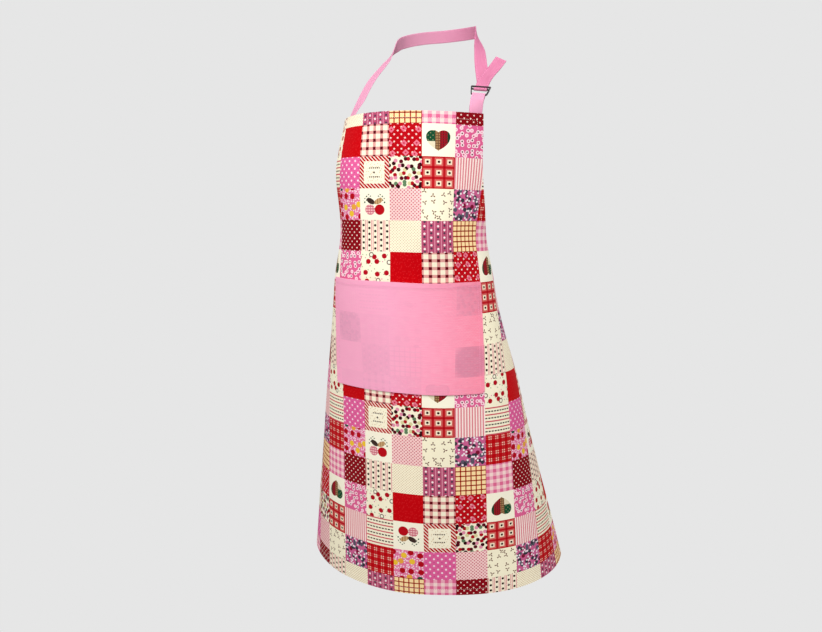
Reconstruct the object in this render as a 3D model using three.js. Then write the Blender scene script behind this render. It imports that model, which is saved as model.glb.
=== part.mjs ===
// Patchwork apron: one printed cotton cloth with bib and skirt, a wide front pocket, and a neck strap
// that a three-bar slider shortens. Millimetres, +Z up. The front faces -Y and +X is the wearer's left.
// The origin lies on the strap at the nape, in the apron's centre plane. Points are worked out from the
// middle of the bib's top edge, and the outer group carries them to the nape.
import * as THREE from 'three';

// Driving dimensions
const nape = { back: 213, rise: 137 };
const cloth = { thick: 1.2, length: 762, skirtHalf: 350, hemWide: 12, hemExtra: 0.8, hemStep: 1.5 };
const pocket = {
  middle: 20, halfWide: 134, top: 253, topDrop: 3, bottom: 428, corner: 7, thick: 1.2, gap: 0.9, mouthLift: 11,
};
const strap = { wide: 20, thick: 1, sewnBehind: 26, sewnGap: 1.8 };
const slider = {
  topWide: 32, bottomWide: 25, tall: 19.5, bar: 2, bevel: 0.55, corner: 2.5, windowCorner: 1.2, middleBarUp: 3,
  clear: 0.45,
};
const neck = { x: 34, y: 158, radius: 65 };

// How the cloth lies on the wearer. A row per level: its distance down the cloth, how far its middle is
// set back and which way its middle faces. Then for the wearer's right and left: how far that side sinks,
// and the angle in degrees through which the cloth has turned at each girth station out from the middle.
const girth = [0, 50, 100, 150, 220, 350];
const sinkSpan = 300;
const levels = [
  {
    name: 'top edge', down: 0, back: 13, face: -12,
    right: { sink: 30, turn: [0, 20, 39, 65, 74, 110] },
    left: { sink: 15, turn: [0, 25, 41, 50, 77, 112] },
  },
  {
    name: 'bust', down: 90, back: 12, face: -6,
    right: { sink: 2, turn: [0, 9, 44, 64, 73, 110] },
    left: { sink: 14, turn: [0, 15, 50, 51, 77, 112] },
  },
  {
    name: 'waist', down: 180, back: 16, face: -7,
    right: { sink: 3, turn: [0, 7, 48, 76, 93, 135] },
    left: { sink: 5, turn: [0, 6, 61, 69, 100, 138] },
  },
  {
    name: 'belly', down: 260, back: 15, face: -4,
    right: { sink: 7, turn: [0, 11, 39, 71, 97, 142] },
    left: { sink: 5, turn: [0, 11, 46, 64, 106, 147] },
  },
  {
    name: 'lap', down: 420, back: 18, face: -7,
    right: { sink: 0, turn: [0, 15, 26, 48, 76, 133] },
    left: { sink: 6, turn: [0, 8, 36, 51, 85, 140] },
  },
  {
    name: 'knee', down: 620, back: 25, face: -7,
    right: { sink: -8, turn: [0, 14, 22, 39, 59, 113] },
    left: { sink: 1, turn: [0, 12, 29, 39, 64, 117] },
  },
  {
    name: 'hem', down: cloth.length, back: 31, face: -6,
    right: { sink: -12, turn: [0, 12, 23, 36, 52, 101] },
    left: { sink: -15, turn: [0, 15, 20, 30, 52, 102] },
  },
];

// Side edge of the cut cloth: half its width at each distance down, through the armhole to the skirt
const sideEdge = [
  { down: 0, half: 147 },
  { down: 95, half: 155 },
  { down: 170, half: 180 },
  { down: 240, half: 206 },
  { down: 262, half: 232 },
  { down: 282, half: 278 },
  { down: 300, half: cloth.skirtHalf },
  { down: cloth.length, half: cloth.skirtHalf },
];

// Colours of the materials
const colours = { print: 0xd98a93, pink: 0xf29ac4, gunmetal: 0x4a4447 };

const radians = THREE.MathUtils.degToRad;

// Smooth curve through a short table, each knot taking the slope between its neighbours
function through(knots, values, at) {
  const last = knots.length - 1;
  let k = 0;
  while (k < last - 1 && at > knots[k + 1]) k += 1;
  const slope = (i) => {
    const a = Math.max(i - 1, 0);
    const b = Math.min(i + 1, last);
    return (values[b] - values[a]) / (knots[b] - knots[a]);
  };
  const span = knots[k + 1] - knots[k];
  const f = (at - knots[k]) / span;
  const rise = values[k + 1] - values[k];
  const startSlope = slope(k) * span;
  const endSlope = slope(k + 1) * span;
  return values[k] + f * (startSlope + f * (3 * rise - 2 * startSlope - endSlope
    + f * (startSlope + endSlope - 2 * rise)));
}

const edgeDowns = sideEdge.map((row) => row.down);
const edgeHalves = sideEdge.map((row) => row.half);

function halfWidth(down) {
  return Math.min(through(edgeDowns, edgeHalves, down), cloth.skirtHalf);
}

const levelDowns = levels.map((row) => row.down);

function levelAt(down, side) {
  const column = (pick) => through(levelDowns, levels.map(pick), down);
  return {
    back: column((row) => row.back),
    face: column((row) => row.face),
    sink: column((row) => row[side].sink),
    turn: girth.map((_, i) => column((row) => row[side].turn[i])),
  };
}

// Middle of the cloth's thickness, at a distance across from the centre line and down from the top edge
function clothPoint(across, down) {
  const level = levelAt(down, across < 0 ? 'right' : 'left');
  const side = Math.sign(across);
  const steps = Math.ceil(Math.abs(across) / 6);
  const step = Math.abs(across) / Math.max(steps, 1);
  const point = new THREE.Vector3(0, level.back, -down - level.sink * (across / sinkSpan) ** 2);
  for (let i = 0; i < steps; i += 1) {
    const heading = radians(level.face + side * through(girth, level.turn, (i + 0.5) * step));
    point.x += side * step * Math.cos(heading);
    point.y += side * step * Math.sin(heading);
  }
  return point;
}

// The cloth's outward direction, away from the wearer
function clothOut(across, down) {
  const reach = 2;
  const alongX = clothPoint(across + reach, down).sub(clothPoint(across - reach, down));
  const alongZ = clothPoint(across, down - reach).sub(clothPoint(across, down + reach));
  return alongX.cross(alongZ).normalize();
}

function offCloth(across, down, distance) {
  return clothPoint(across, down).addScaledVector(clothOut(across, down), distance);
}

// Closed solid between two grids of points, the outer one facing away from the wearer. Each cell is
// split along its shorter diagonal.
function sheetSolid(outer, inner) {
  const rows = outer.length;
  const columns = outer[0].length;
  const points = [...outer.flat(), ...inner.flat()];
  const front = (i, j) => i * columns + j;
  const rear = (i, j) => rows * columns + i * columns + j;
  const faces = [];
  const quad = (a, b, c, d) => {
    const shortAcross = points[a].distanceTo(points[c]) <= points[b].distanceTo(points[d]);
    faces.push(...(shortAcross ? [a, b, c, a, c, d] : [a, b, d, b, c, d]));
  };
  for (let i = 0; i < rows - 1; i += 1) {
    for (let j = 0; j < columns - 1; j += 1) {
      quad(front(i, j), front(i + 1, j), front(i + 1, j + 1), front(i, j + 1));
      quad(rear(i, j), rear(i, j + 1), rear(i + 1, j + 1), rear(i + 1, j));
    }
    const end = columns - 1;
    quad(front(i, 0), rear(i, 0), rear(i + 1, 0), front(i + 1, 0));
    quad(front(i, end), front(i + 1, end), rear(i + 1, end), rear(i, end));
  }
  for (let j = 0; j < columns - 1; j += 1) {
    const end = rows - 1;
    quad(front(0, j), front(0, j + 1), rear(0, j + 1), rear(0, j));
    quad(front(end, j), rear(end, j), rear(end, j + 1), front(end, j + 1));
  }
  const geometry = new THREE.BufferGeometry();
  geometry.setFromPoints(points);
  geometry.setIndex(faces);
  geometry.computeVertexNormals();
  return geometry;
}

// Evenly spaced values from one end to the other, both included
function evenly(from, to, count) {
  return Array.from({ length: count + 1 }, (_, i) => from + ((to - from) * i) / count);
}

// The printed cloth: its hems are turned to the back, so only the inner grid steps there
function panelGeometry() {
  const { length, hemWide, hemStep, hemExtra, thick } = cloth;
  const innerEdge = hemWide + hemStep;
  const downs = [
    0, hemWide,
    ...evenly(innerEdge, 240, 10),
    ...evenly(249, 300, 6),
    ...evenly(323, length - innerEdge, 17),
    length - hemWide, length,
  ];
  const halfColumns = 16;
  const outer = [];
  const inner = [];
  for (const down of downs) {
    const half = halfWidth(down);
    const slope = (halfWidth(Math.min(down + 1, length)) - halfWidth(Math.max(down - 1, 0))) / 2;
    const lean = Math.min(Math.hypot(1, slope), 2.5);
    const inside = evenly(0, half - innerEdge * lean, halfColumns);
    const right = [...inside, half - hemWide * lean, half];
    const acrosses = [...right.slice(1).reverse().map((across) => -across), ...right];
    const inRowHem = down <= hemWide || down >= length - hemWide;
    outer.push(acrosses.map((across) => offCloth(across, down, thick / 2)));
    inner.push(acrosses.map((across) => {
      const inHem = inRowHem || Math.abs(across) >= half - hemWide * lean;
      return offCloth(across, down, -thick / 2 - (inHem ? hemExtra : 0));
    }));
  }
  return sheetSolid(outer, inner);
}

// The pocket lies on the cloth along its sewn sides and bottom and stands off it at the mouth. Its
// columns run from the top edge down to the bottom edge, closer together round the two bottom corners.
function pocketGeometry() {
  const { middle, halfWide, top, topDrop, bottom, corner, thick, gap, mouthLift } = pocket;
  const straight = halfWide - corner;
  const roundOff = [22.5, 45, 67.5, 90].map((degrees) => straight + corner * Math.sin(radians(degrees)));
  const columns = [
    ...roundOff.map((x) => -x).reverse(),
    ...evenly(-straight, straight, 18),
    ...roundOff,
  ];
  const rows = evenly(0, 1, 10);
  const stand = (u, v) => gap + mouthLift * Math.max(1 - u * u, 0) ** 1.5 * (1 - v) ** 1.2;
  const layer = (rise) => rows.map((v) => columns.map((x) => {
    const u = x / halfWide;
    const inCorner = Math.max(Math.abs(x) - straight, 0);
    const high = top + (topDrop * (1 + u)) / 2;
    const low = bottom - corner + Math.sqrt(Math.max(corner ** 2 - inCorner ** 2, 0));
    return offCloth(middle + x, high + (low - high) * v, cloth.thick / 2 + stand(u, v) + rise);
  }));
  return sheetSolid(layer(thick), layer(0));
}

// The direction of a run of stations at one of them
function alongRun(stations, i) {
  const before = stations[Math.max(i - 1, 0)].at;
  const after = stations[Math.min(i + 1, stations.length - 1)].at;
  return after.clone().sub(before).normalize();
}

// The outward directions of a run of stations, each turned square to the run
function squareToRun(stations) {
  return stations.map(({ out }, i) => {
    const along = alongRun(stations, i);
    return out.clone().addScaledVector(along, -out.dot(along)).normalize();
  });
}

// Closed band of rectangular section along stations that each give a point and an outward direction
function bandGeometry(stations) {
  const outer = [];
  const inner = [];
  squareToRun(stations).forEach((face, i) => {
    const sideways = face.clone().cross(alongRun(stations, i)).setLength(strap.wide / 2);
    const edge = (sign, rise) => stations[i].at.clone()
      .addScaledVector(sideways, sign)
      .addScaledVector(face, rise);
    outer.push([edge(-1, strap.thick / 2), edge(1, strap.thick / 2)]);
    inner.push([edge(-1, -strap.thick / 2), edge(1, -strap.thick / 2)]);
  });
  return sheetSolid(outer, inner);
}

// Smooth run of stations through a few hand-set ones
function smoothStations(stations, count) {
  const path = new THREE.CatmullRomCurve3(stations.map((s) => s.at), false, 'centripetal');
  return evenly(0, 1, count).map((f) => {
    const place = f * (stations.length - 1);
    const k = Math.min(Math.floor(place), stations.length - 2);
    const out = stations[k].out.clone().lerp(stations[k + 1].out, place - k).normalize();
    return { at: path.getPoint(f), out };
  });
}

const vector = (x, y, z) => new THREE.Vector3(x, y, z);

// The slider's place and axes: across its bars, up along the strap, and out to the front
const sliderPlace = vector(125.5, 76, 32);
const sliderAcross = vector(0.99, 0.05, -0.1).normalize();
const sliderOut = sliderAcross.clone().cross(vector(0.03, 0.7, 0.71)).normalize();
const sliderUp = sliderOut.clone().cross(sliderAcross);

// A station of a band near the slider: up, out and across from its middle, facing by an angle from the
// front, 0 facing out and 180 facing back
function atSlider(up, out, across, faceAngle) {
  const at = sliderPlace.clone()
    .addScaledVector(sliderUp, up)
    .addScaledVector(sliderOut, out)
    .addScaledVector(sliderAcross, across);
  const angle = radians(faceAngle);
  const face = sliderOut.clone().multiplyScalar(Math.cos(angle))
    .addScaledVector(sliderUp, -Math.sin(angle));
  return { at, out: face };
}

// Bands lie this far from the middle of a bar that they pass, and from each other
const bandOffBar = slider.bar / 2 + slider.clear + strap.thick / 2;
const bandOffBand = strap.thick + slider.clear;
const topBarUp = slider.tall / 2 - slider.bar / 2;

// Half turn of a band under or over a bar, from the back to the front of it
function foldRound(barUp, direction) {
  return evenly(0, 180, 6).map((degrees) => {
    const angle = radians(degrees);
    const up = barUp + direction * bandOffBar * Math.sin(angle);
    return atSlider(up, -bandOffBar * Math.cos(angle), 0, direction * degrees);
  });
}

// A station of a band that is sewn behind the cloth, a number of layers down, with the band's face
// turned to the cloth or, after a fold, away from it
function behindCloth(across, down, layer, turned = 1) {
  const depth = cloth.thick / 2 + cloth.hemExtra + strap.sewnGap + strap.thick / 2 + layer * bandOffBand;
  return { at: offCloth(across, down, -depth), out: clothOut(across, down).multiplyScalar(turned) };
}

// The neck strap: sewn behind the bib's corner on the wearer's right, up and round the nape, down behind
// the slider's top bar, round its middle bar and up again behind the top bar to its free end
const sewnAcross = -93;
const roundNeck = [
  { angle: 184, rise: 116 },
  { angle: 155, rise: 128 },
  { angle: 125, rise: 136 },
  { angle: 95, rise: 139 },
  { angle: 65, rise: 140 },
  { angle: 35, rise: 138 },
  { angle: 5, rise: 131 },
];
function neckStation({ angle, rise }) {
  const out = vector(Math.cos(radians(angle)), Math.sin(radians(angle)), 0.12);
  return { at: vector(neck.x + neck.radius * out.x, neck.y + neck.radius * out.y, rise), out };
}
const upperRun = smoothStations([
  behindCloth(sewnAcross, strap.sewnBehind, 0),
  behindCloth(sewnAcross, 3, 0),
  { at: vector(-69, 81, 22), out: vector(-0.44, -0.68, 0.58) },
  { at: vector(-59, 105, 56), out: vector(-0.42, -0.66, 0.62) },
  { at: vector(-41, 128, 88), out: vector(-0.52, -0.56, 0.64) },
  ...roundNeck.map(neckStation),
  { at: vector(109, 141, 104), out: vector(0.55, -0.3, 0.75) },
  { at: vector(117, 117, 76), out: vector(0.3, -0.55, 0.75) },
  atSlider(24, -3.6, 0, 0),
], 56);
const sliderRun = [
  atSlider(14, -bandOffBar - bandOffBand, 0, 0),
  atSlider(topBarUp, -bandOffBar - bandOffBand, 0, 0),
  atSlider(5.5, -bandOffBar - 0.9, 0, 0),
];
const tailRun = smoothStations([
  atSlider(slider.middleBarUp + 1.2, bandOffBar - 0.1, 0, 180),
  atSlider(slider.middleBarUp + 2.8, 0, 0, 180),
  atSlider(topBarUp - 1.7, -bandOffBar + 0.4, 0, 180),
  atSlider(topBarUp + 1.5, -bandOffBar, 0, 180),
  atSlider(15, -bandOffBar, 0.5, 180),
  atSlider(22, 1, 2.5, 180),
  atSlider(30, 6, 7, 180),
  atSlider(41, 12, 15, 180),
  atSlider(55, 18, 22.5, 180),
], 24);
const neckStrapRun = [
  ...upperRun,
  ...sliderRun,
  ...foldRound(slider.middleBarUp, -1),
  ...tailRun,
];

// The tab: up from behind the bib's other corner, over the slider's bottom bar and down again. Its two
// layers lie either side of one line and draw apart from the sewn end to the bar.
const tabAcross = 136;
const tabLine = smoothStations([
  behindCloth(tabAcross, strap.sewnBehind, 0.5),
  behindCloth(tabAcross, 2, 0.5),
  atSlider(-topBarUp - 14, -0.65, 0, 0),
  atSlider(-topBarUp - 5, 0, 0, 0),
], 12);
function tabLayer(side) {
  const facing = squareToRun(tabLine);
  const apart = evenly(bandOffBand / 2, bandOffBar, tabLine.length - 1);
  return tabLine.map(({ at }, i) => ({
    at: at.clone().addScaledVector(facing[i], side * apart[i]),
    out: facing[i].clone().multiplyScalar(-side),
  }));
}
const tabRun = [...tabLayer(-1), ...foldRound(-topBarUp, 1), ...tabLayer(1).reverse()];

// The slider: a flat wire frame with three bars, narrower below, its windows cut through
function sliderGeometry() {
  const { topWide, bottomWide, tall, bar, bevel, corner, windowCorner, middleBarUp } = slider;
  const halfTall = tall / 2;
  const halfAt = (up) => THREE.MathUtils.mapLinear(up, -halfTall, halfTall, bottomWide / 2, topWide / 2);
  const rounded = (path, low, high, inset, radius) => {
    const lowHalf = halfAt(low) - inset;
    const highHalf = halfAt(high) - inset;
    const corners = [[-lowHalf, low], [lowHalf, low], [highHalf, high], [-highHalf, high]]
      .map(([x, y]) => new THREE.Vector2(x, y));
    corners.forEach((point, i) => {
      const toward = (other) => other.clone().sub(point).setLength(radius).add(point);
      const enter = toward(corners[(i + 3) % 4]);
      const leave = toward(corners[(i + 1) % 4]);
      if (i === 0) path.moveTo(enter.x, enter.y);
      else path.lineTo(enter.x, enter.y);
      path.quadraticCurveTo(point.x, point.y, leave.x, leave.y);
    });
    return path.closePath();
  };
  const windowInset = bar - bevel;
  const halfBar = bar / 2 - bevel;
  const frame = rounded(new THREE.Shape(), -halfTall + bevel, halfTall - bevel, bevel, corner);
  frame.holes.push(
    rounded(new THREE.Path(), middleBarUp + halfBar, topBarUp - halfBar, windowInset, windowCorner),
    rounded(new THREE.Path(), -topBarUp + halfBar, middleBarUp - halfBar, windowInset, windowCorner),
  );
  const geometry = new THREE.ExtrudeGeometry(frame, {
    depth: bar - 2 * bevel, bevelEnabled: true, bevelThickness: bevel, bevelSize: bevel,
    bevelSegments: 1, curveSegments: 4,
  });
  return geometry.translate(0, 0, -bar / 2 + bevel);
}

const printedCotton = new THREE.MeshStandardMaterial({ color: colours.print, roughness: 0.9 });
const pinkCotton = new THREE.MeshStandardMaterial({ color: colours.pink, roughness: 0.9 });
const gunmetal = new THREE.MeshStandardMaterial({ color: colours.gunmetal, roughness: 0.35, metalness: 1 });

function named(name, geometry, material) {
  const mesh = new THREE.Mesh(geometry, material);
  mesh.name = name;
  return mesh;
}

const slideBuckle = named('slide_buckle', sliderGeometry(), gunmetal);
slideBuckle.position.copy(sliderPlace);
slideBuckle.quaternion.setFromRotationMatrix(
  new THREE.Matrix4().makeBasis(sliderAcross, sliderUp, sliderOut),
);

const apron = new THREE.Group();
apron.position.set(0, -nape.back, -nape.rise);
apron.add(
  named('apron_panel', panelGeometry(), printedCotton),
  named('pocket', pocketGeometry(), pinkCotton),
  named('neck_strap', bandGeometry(neckStrapRun), pinkCotton.clone()),
  named('strap_tab', bandGeometry(tabRun), pinkCotton.clone()),
  slideBuckle,
);

export default apron;
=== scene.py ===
import math

import bmesh
import bpy
import numpy as np
from mathutils import Matrix, Vector


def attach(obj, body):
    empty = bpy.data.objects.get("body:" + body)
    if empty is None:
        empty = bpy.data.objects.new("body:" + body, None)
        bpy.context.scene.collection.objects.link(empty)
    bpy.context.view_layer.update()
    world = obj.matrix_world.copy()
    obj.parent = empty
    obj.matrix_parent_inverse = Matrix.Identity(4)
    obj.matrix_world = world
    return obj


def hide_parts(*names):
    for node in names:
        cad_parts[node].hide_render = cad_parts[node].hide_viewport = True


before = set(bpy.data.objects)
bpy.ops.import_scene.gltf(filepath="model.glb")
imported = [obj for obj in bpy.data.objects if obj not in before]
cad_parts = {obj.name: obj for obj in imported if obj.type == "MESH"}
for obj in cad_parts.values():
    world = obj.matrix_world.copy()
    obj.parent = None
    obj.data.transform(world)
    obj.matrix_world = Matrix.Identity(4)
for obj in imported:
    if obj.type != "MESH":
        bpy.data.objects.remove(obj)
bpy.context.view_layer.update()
print("frame loaded")

mm = 0.001
hair = 0.05  # millimetres, so that a point on a line counts as inside it
smoothBelow = math.radians(50)  # edges that turn less than this are shaded round
sharpAbove = math.radians(60)  # and those that turn more than this are bevelled

# places are worked out in millimetres from the middle of the bib's top edge, and moved last to the frame's
# origin, at the back of the neck strap
frameOrigin = Vector((0, 213, 137))


def linear(hexColour):
    channels = [int(hexColour[i:i + 2], 16) / 255 for i in (1, 3, 5)]
    return tuple(c / 12.92 if c <= 0.04045 else ((c + 0.055) / 1.055) ** 2.4 for c in channels) + (1.0,)


# adds one node: inputs in order, or by name or number in named; stops fill a colour ramp with plain steps
def addNode(tree, kind, *inputs, named=None, stops=None, **settings):
    node = tree.nodes.new("ShaderNode" + kind)
    for name, value in settings.items():
        setattr(node, name, value)
    for key, value in [*enumerate(inputs), *(named or {}).items()]:
        if isinstance(value, bpy.types.NodeSocket):
            tree.links.new(value, node.inputs[key])
        elif value is not None:
            node.inputs[key].default_value = value
    if stops:
        node.color_ramp.interpolation = "CONSTANT"
        while len(node.color_ramp.elements) < len(stops):
            node.color_ramp.elements.new(1.0)
        for element, (position, colour) in zip(node.color_ramp.elements, stops):
            element.position = position
            element.color = linear(colour)
    return node.outputs


def deselectAll():
    if bpy.context.mode != "OBJECT":
        bpy.ops.object.mode_set(mode="OBJECT")
    bpy.ops.object.select_all(action="DESELECT")


def makeActive(piece):
    deselectAll()
    piece.select_set(True)
    bpy.context.view_layer.objects.active = piece


def applyModifier(piece, kind, **settings):
    makeActive(piece)
    modifier = piece.modifiers.new(kind.title(), kind)
    for name, value in settings.items():
        setattr(modifier, name, value)
    bpy.ops.object.modifier_apply(modifier=modifier.name)


# camera and light

photoView = {  # degrees, millimetres and pixels
    "azimuth": 17.46, "distance": 1452.4, "turnsRound": 128, "height": -120.8, "pitch": 7.94,
    "focalPixels": 882.2, "imageWide": 822, "sensor": 36.0,
}


def placeCamera():
    azimuth = math.radians(photoView["azimuth"])
    pitch = math.radians(photoView["pitch"])
    away = photoView["distance"]
    across = math.sin(azimuth)
    forward = math.cos(azimuth)
    spot = Vector((away * across, photoView["turnsRound"] - away * forward, photoView["height"]))
    looks = Vector((-across * math.cos(pitch), forward * math.cos(pitch), -math.sin(pitch)))
    bpy.ops.object.camera_add(location=(spot - frameOrigin) * mm)
    camera = bpy.context.object
    camera.name = "photoCamera"
    camera.rotation_euler = looks.to_track_quat("-Z", "Y").to_euler()
    camera.data.sensor_fit = "HORIZONTAL"
    camera.data.sensor_width = photoView["sensor"]
    camera.data.lens = photoView["focalPixels"] / photoView["imageWide"] * photoView["sensor"]
    bpy.context.scene.camera = camera


studio = {
    "backdrop": "#E6E6E6", "ambient": 0.42, "aim": (0.0, -0.15, -0.3),
    "softboxes": (  # place, size, power
        ((0.3, -1.8, 1.4), 1.8, 60.0),
        ((-1.7, -1.2, 0.7), 1.4, 19.0),
        ((1.6, -1.0, 1.2), 1.4, 20.0),
        ((0.1, 2.2, 0.6), 1.8, 40.0),
    ),
}


# a pale backdrop all round, dimmer as light than as it is seen, softboxes high in front and one behind
def lightStudio():
    world = bpy.data.worlds.new("paleStudio")
    world.use_nodes = True
    tree = world.node_tree
    tree.nodes.clear()
    seen = addNode(tree, "LightPath")["Is Camera Ray"]
    strength = addNode(tree, "MapRange", seen, 0.0, 1.0, studio["ambient"], 1.0)[0]
    addNode(tree, "OutputWorld", addNode(tree, "Background", linear(studio["backdrop"]), strength)[0])
    bpy.context.scene.world = world
    bpy.context.scene.view_settings.view_transform = "Standard"
    for spot, size, power in studio["softboxes"]:
        deselectAll()
        bpy.ops.object.light_add(type="AREA", location=spot)
        light = bpy.context.object
        light.name = "softbox"
        light.data.size = size
        light.data.energy = power
        light.rotation_euler = (Vector(studio["aim"]) - Vector(spot)).to_track_quat("-Z", "Y").to_euler()


placeCamera()
lightStudio()
print("camera and light placed")


# how the cut cloth hangs: a row per level with its distance down the cloth, how far its middle is set back
# and which way it faces, then for its -X side and its +X side how far that side sinks and the angle that it
# has turned at each girth station

wornCloth = {
    "thick": 1.2, "length": 762, "skirtHalf": 350, "columns": (-5, 9), "rows": (0, 17),
    "hemWide": 12, "hemExtra": 0.8, "hemStep": 1.5, "hemSpread": 2.5, "backFade": 0.55, "backInk": "#F6EBE2",
    "girth": (0, 50, 100, 150, 220, 350), "sinkSpan": 300,
    "levels": (
        (0, 13, -12, (30, 0, 20, 39, 65, 74, 110), (15, 0, 25, 41, 50, 77, 112)),  # top edge
        (90, 12, -6, (2, 0, 9, 44, 64, 73, 110), (14, 0, 15, 50, 51, 77, 112)),  # bib
        (180, 16, -7, (3, 0, 7, 48, 76, 93, 135), (5, 0, 6, 61, 69, 100, 138)),  # armholes
        (260, 15, -4, (7, 0, 11, 39, 71, 97, 142), (5, 0, 11, 46, 64, 106, 147)),  # pocket's mouth
        (420, 18, -7, (0, 0, 15, 26, 48, 76, 133), (6, 0, 8, 36, 51, 85, 140)),  # pocket's bottom
        (620, 25, -7, (-8, 0, 14, 22, 39, 59, 113), (1, 0, 12, 29, 39, 64, 117)),  # skirt
        (762, 31, -6, (-12, 0, 12, 23, 36, 52, 101), (-15, 0, 15, 20, 30, 52, 102)),  # hem
    ),
    "sideEdge": (  # distance down, half of the width
        (0, 147), (95, 155), (170, 180), (240, 206), (262, 232), (282, 278), (300, 350), (762, 350),
    ),
}


# smooth curve through a short table, each knot taking the slope between its neighbours
def through(knots, table, at):
    knots = np.asarray(knots, float)
    table = np.asarray(table, float)
    last = len(knots) - 1
    before = np.maximum(np.arange(last + 1) - 1, 0)
    after = np.minimum(np.arange(last + 1) + 1, last)
    slope = (table[after] - table[before]) / (knots[after] - knots[before])[:, None]
    k = np.clip(np.searchsorted(knots, at) - 1, 0, last - 1)
    span = (knots[k + 1] - knots[k])[:, None]
    f = (np.asarray(at, float) - knots[k])[:, None] / span
    rise = table[k + 1] - table[k]
    startSlope = slope[k] * span
    endSlope = slope[k + 1] * span
    return table[k] + f * (startSlope + f * (3 * rise - 2 * startSlope - endSlope
                                             + f * (startSlope + endSlope - 2 * rise)))


# half of the cut cloth's width, at distances down from the top edge
def halfWidth(down):
    rows = np.array(wornCloth["sideEdge"], float)
    return np.minimum(through(rows[:, 0], rows[:, 1:], np.atleast_1d(down))[:, 0], wornCloth["skirtHalf"])


# middle of the cloth's thickness, at distances across from the centre line and down from the top edge
def clothPoint(across, down):
    levels = wornCloth["levels"]
    table = [[back, face, *right, *left] for lineDown, back, face, right, left in levels]
    level = through([row[0] for row in levels], table, down)
    girth = wornCloth["girth"]
    ownSide = np.where((across < 0)[:, None], level[:, 2:3 + len(girth)], level[:, 3 + len(girth):])
    face, sink, turn = level[:, 1], ownSide[:, 0], ownSide[:, 1:]
    steps = 60
    step = np.abs(across) / steps
    side = np.sign(across)
    x = np.zeros(len(across))
    y = level[:, 0].copy()
    for i in range(steps):
        turned = (through(girth, np.eye(len(girth)), (i + 0.5) * step) * turn).sum(1)
        heading = np.radians(face + side * turned)
        x += side * step * np.cos(heading)
        y += side * step * np.sin(heading)
    z = -down - sink * (across / wornCloth["sinkSpan"]) ** 2
    return np.stack([x, y, z], 1)


# points lifted outward from the middle of the hung cloth, and the outward direction there
def hungPoints(across, down, lift):
    across = np.asarray(across, float)
    down = np.asarray(down, float)
    reach = 2.0
    alongAcross = clothPoint(across + reach, down) - clothPoint(across - reach, down)
    alongUp = clothPoint(across, down - reach) - clothPoint(across, down + reach)
    out = np.cross(alongAcross, alongUp)
    out /= np.linalg.norm(out, axis=1)[:, None]
    return clothPoint(across, down) + out * np.broadcast_to(lift, across.shape)[:, None], out


# from millimetres to the frame's metres
def inFrame(points):
    return (np.asarray(points) - np.array(frameOrigin)) * mm


# the printed squares: a repeat of eight rows and six columns, and what is printed in each

printedSquares = {"wide": 50.8, "tall": 47.8, "startColumn": 1.953, "startRow": 0.617, "cells": 6}

printChart = (
    ("redFleck", "darkGingham", "redFlowers", "heartPatch", "pinkDaisies", "ringsAndBerries"),
    ("pinkDots", "twillFrame", "berries", "redWindows", "pinkStripes", "dashLines"),
    ("fruit", "cherryPair", "tinyCheck", "sprigs", "darkFlowers", "redPlaid"),
    ("maroonDots", "dotStripes", "tinyDots", "mauveStripes", "yellowPlaid", "pinkGingham"),
    ("pinkDaisies", "ringsAndBerries", "redFleck", "darkGingham", "redFlowers", "heartPatch"),
    ("pinkStripes", "dashLines", "cherryPair", "twillFrame", "berries", "redWindows"),
    ("darkFlowers", "redPlaid", "fruit", "pinkDots", "tinyCheck", "sprigs"),
    ("tinyDots", "mauveStripes", "yellowPlaid", "pinkGingham", "maroonDots", "dotStripes"),
)
turnedRows = (4, 5, 6, 7)  # the lower half of the repeat is printed upside down

creamInk = "#F8EFD3"


# stripes: one where the place along a square falls in the first share of each of count turns
def bars(tree, along, count, share, phase=0.0):
    turns = addNode(tree, "Math", along, float(count), phase, operation="MULTIPLY_ADD")[0]
    place = addNode(tree, "Math", turns, operation="FRACT")[0]
    return addNode(tree, "Math", place, share, operation="LESS_THAN")[0]


# a check: its upright bars, its level bars and where they cross
def checks(tree, x, y, count, share, phase=0.0):
    upright, level = (bars(tree, along, count, share, phase) for along in (x, y))
    return upright, level, addNode(tree, "Math", upright, level, operation="MULTIPLY")[0]


# round dots in columns, each column set half a step off from the last
def dotColumns(tree, x, y, columns, rows, radius, phase=0.0):
    turns = addNode(tree, "Math", x, float(columns), operation="MULTIPLY")[0]
    column = addNode(tree, "Math", turns, operation="FLOOR")[0]
    shift = addNode(tree, "Math", column, 0.5, phase, operation="MULTIPLY_ADD")[0]
    rowTurns = addNode(tree, "Math", y, float(rows), shift, operation="MULTIPLY_ADD")[0]
    offsets = []
    for turned, count in ((turns, columns), (rowTurns, rows)):
        place = addNode(tree, "Math", turned, operation="FRACT")[0]
        offsets.append(addNode(tree, "Math", place, 1 / count, -0.5 / count, operation="MULTIPLY_ADD")[0])
    offset = addNode(tree, "CombineXYZ", *offsets)[0]
    distance = addNode(tree, "VectorMath", offset, operation="LENGTH")["Value"]
    return addNode(tree, "Math", distance, radius, operation="LESS_THAN")[0]


# places strewn without order, count to a side of a square: the nearest one's distance, chance and position
def strewn(tree, square, count, looseness, shift=0.0):
    moved = addNode(tree, "VectorMath", square, (shift, shift, 0), operation="ADD")[0]
    places = addNode(tree, "TexVoronoi", named={"Vector": moved, "Scale": count, "Randomness": looseness},
                     voronoi_dimensions="2D")
    chance = addNode(tree, "SeparateColor", places["Color"])[0]
    return places["Distance"], chance, places["Position"]


# round spots at strewn places, and each spot's chance
def strewnSpots(tree, square, count, looseness, radius, shift=0.0):
    distance, chance, place = strewn(tree, square, count, looseness, shift)
    return addNode(tree, "Math", distance, radius, operation="LESS_THAN")[0], chance


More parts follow.
